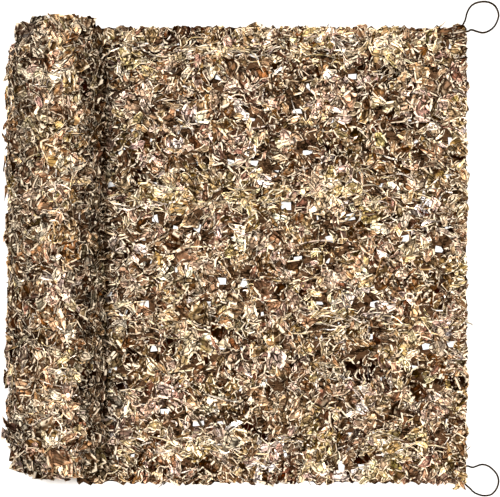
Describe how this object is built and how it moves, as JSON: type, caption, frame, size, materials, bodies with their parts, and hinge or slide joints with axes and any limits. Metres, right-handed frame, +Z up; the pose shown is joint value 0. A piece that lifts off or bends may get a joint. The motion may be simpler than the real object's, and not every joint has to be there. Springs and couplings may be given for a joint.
{
  "type": "camouflage netting roll",
  "caption": "Roll of leaf-cut camouflage netting with its loose end laid flat and a cord loop at each free corner.",
  "frame": {"origin": "on the floor under the middle of the roll and the laid net", "axes": "+X from the roll to the laid net's free end, +Y along the roll, +Z up"},
  "size_m": [1.6171, 1.6399, 0.2993],
  "materials": {
    "netting": "matte",
    "cord": "matte"
  },
  "bodies": {
    "root": {"net_roll": "netting", "net_sheet": "netting", "corner_loop_upper": "cord", "corner_loop_lower": "cord"}
  },
  "joints": []
}
